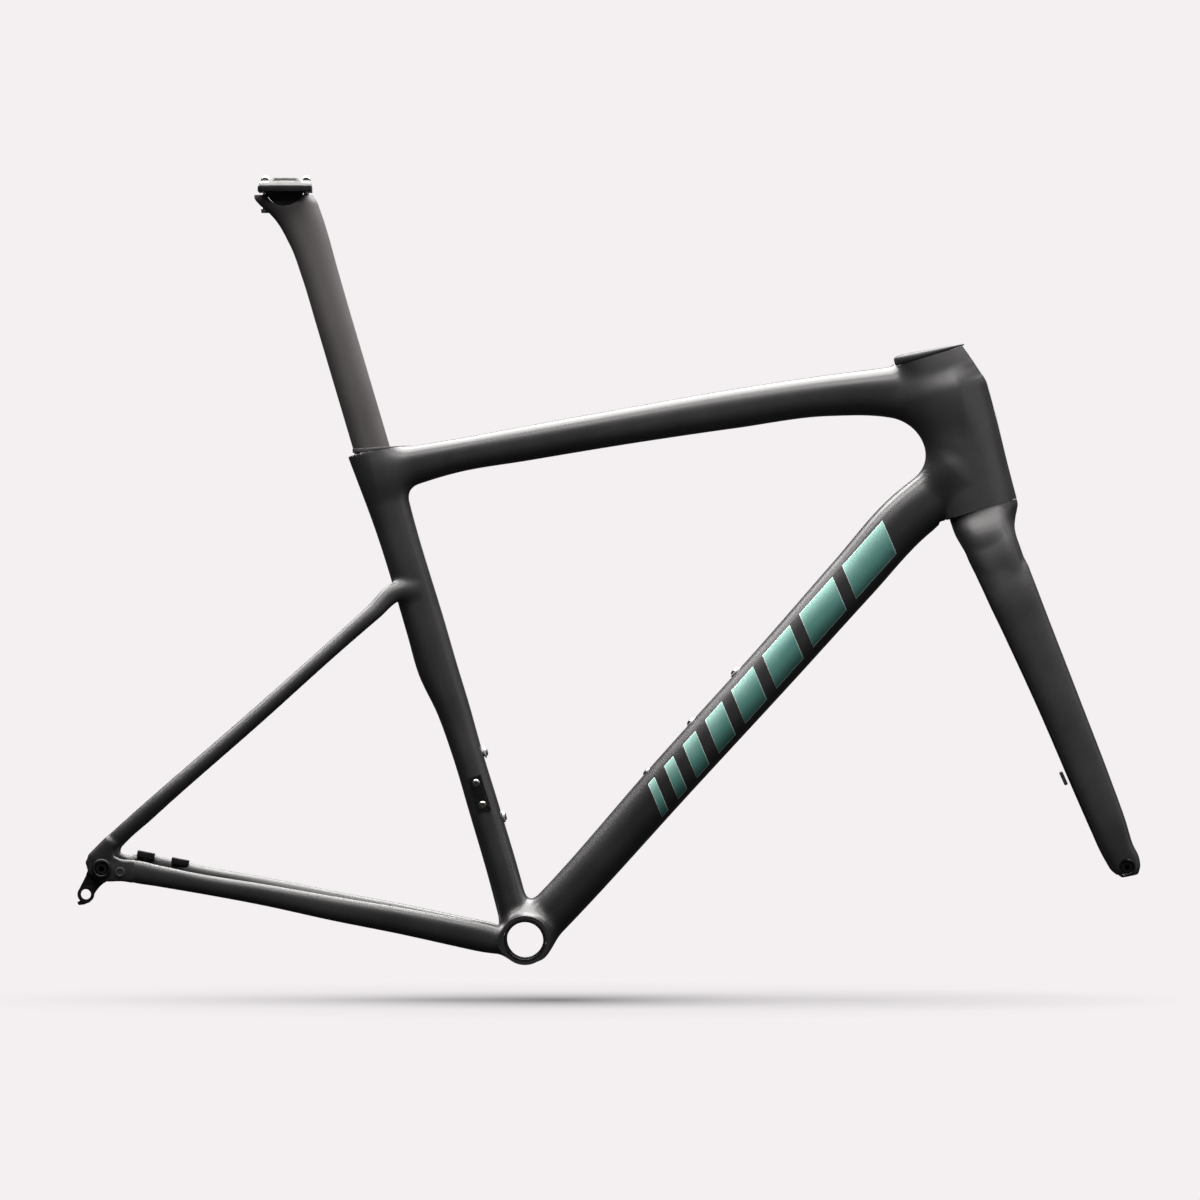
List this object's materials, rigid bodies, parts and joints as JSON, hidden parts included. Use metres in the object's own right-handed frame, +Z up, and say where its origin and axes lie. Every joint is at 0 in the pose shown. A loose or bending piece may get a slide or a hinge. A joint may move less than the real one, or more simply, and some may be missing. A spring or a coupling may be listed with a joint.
{
  "type": "bicycle frame",
  "caption": "Road bicycle frameset: hollow carbon frame with aero tubes, fork turning in its headset, sliding seatpost with tilting rail clamp, and pull-out thru-axles.",
  "frame": {"origin": "centre of the bottom bracket, on the crank axis and the frame's middle plane", "axes": "+X forward, +Y to the rider's left, +Z up"},
  "size_m": [1.0147, 0.1663, 0.7569],
  "materials": {
    "frame_carbon": "satin",
    "fork_carbon": "satin",
    "post_carbon": "matte",
    "black_alloy": "satin",
    "grey_alloy": "satin",
    "bolt_steel": "satin",
    "rubber": "matte",
    "cover_plastic": "satin",
    "graphic_teal": "satin",
    "graphic_light": "satin"
  },
  "bodies": {
    "frame": {"head_tube": "frame_carbon", "top_tube": "frame_carbon", "down_tube": "frame_carbon", "seat_tube": "frame_carbon", "bottom_bracket_shell": "frame_carbon", "bottom_bracket_sleeve": "black_alloy", "chainstay_left": "frame_carbon", "chainstay_right": "frame_carbon", "seatstay_left": "frame_carbon", "seatstay_right": "frame_carbon", "dropout_left": "frame_carbon", "dropout_right": "frame_carbon", "derailleur_hanger": "black_alloy", "hanger_nut": "black_alloy", "wire_grommet": "rubber", "brake_pad_rear": "black_alloy", "brake_pad_front": "black_alloy", "front_derailleur_mount": "black_alloy", "front_derailleur_screw_upper": "bolt_steel", "front_derailleur_screw_lower": "bolt_steel", "bottle_boss_down_tube_1": "grey_alloy", "bottle_boss_down_tube_2": "grey_alloy", "bottle_boss_down_tube_3": "grey_alloy", "bottle_boss_seat_tube_1": "grey_alloy", "bottle_boss_seat_tube_2": "grey_alloy", "bottle_bolt_down_tube_1": "bolt_steel", "bottle_bolt_down_tube_2": "bolt_steel", "bottle_bolt_down_tube_3": "bolt_steel", "bottle_bolt_seat_tube_1": "bolt_steel", "bottle_bolt_seat_tube_2": "bolt_steel", "upper_bearing": "bolt_steel", "lower_bearing": "bolt_steel", "headset_cover": "cover_plastic", "seatpost_seal": "rubber", "wedge_shoe": "grey_alloy", "wedge_block": "grey_alloy", "wedge_bolt": "bolt_steel"},
    "fork": {"fork_crown": "fork_carbon", "fork_blade_left": "fork_carbon", "fork_blade_right": "fork_carbon", "fork_axle_insert": "black_alloy", "steerer_tube": "fork_carbon", "crown_race": "grey_alloy", "compression_ring": "grey_alloy", "expander_plug": "grey_alloy", "expander_bolt": "bolt_steel", "front_hose_grommet": "rubber"},
    "front_axle": {"front_thru_axle": "black_alloy"},
    "rear_axle": {"rear_thru_axle": "black_alloy"},
    "seatpost": {"seatpost": "post_carbon", "clamp_bolt_front": "bolt_steel", "clamp_bolt_rear": "bolt_steel"},
    "rail_clamp": {"rail_cradle": "black_alloy", "rail_clamp_upper": "grey_alloy"},
    "nut_front": {"clamp_nut_front": "bolt_steel"},
    "nut_rear": {"clamp_nut_rear": "bolt_steel"}
  },
  "joints": [
    {"name": "steering", "type": "hinge", "parent": "frame", "child": "fork", "pos_m": [0.40421, 0, 0.48382], "axis": [-0.2924, 0, 0.9563], "range_deg": [-70, 70]},
    {"name": "front_axle_slide", "type": "slide", "parent": "fork", "child": "front_axle", "axis": [0, 1, 0], "range_m": [0, 0.12]},
    {"name": "rear_axle_slide", "type": "slide", "parent": "frame", "child": "rear_axle", "axis": [0, 1, 0], "range_m": [0, 0.155]},
    {"name": "seatpost_height", "type": "slide", "parent": "frame", "child": "seatpost", "axis": [-0.284, 0, 0.9588], "range_m": [-0.08, 0.035]},
    {"name": "clamp_tilt", "type": "hinge", "parent": "seatpost", "child": "rail_clamp", "pos_m": [-0.231, 0, 0.7232], "axis": [0, 1, 0], "range_deg": [-5, 5]},
    {"name": "nut_front_slide", "type": "slide", "parent": "seatpost", "child": "nut_front", "axis": [0, 0, 1], "range_m": [-0.002, 0.002]},
    {"name": "nut_rear_slide", "type": "slide", "parent": "seatpost", "child": "nut_rear", "axis": [0, 0, 1], "range_m": [-0.002, 0.002]}
  ],
  "couplings": [
    {"joint": "nut_front_slide", "follows": "clamp_tilt", "m_per_rad": -0.021},
    {"joint": "nut_rear_slide", "follows": "clamp_tilt", "m_per_rad": 0.0183}
  ]
}
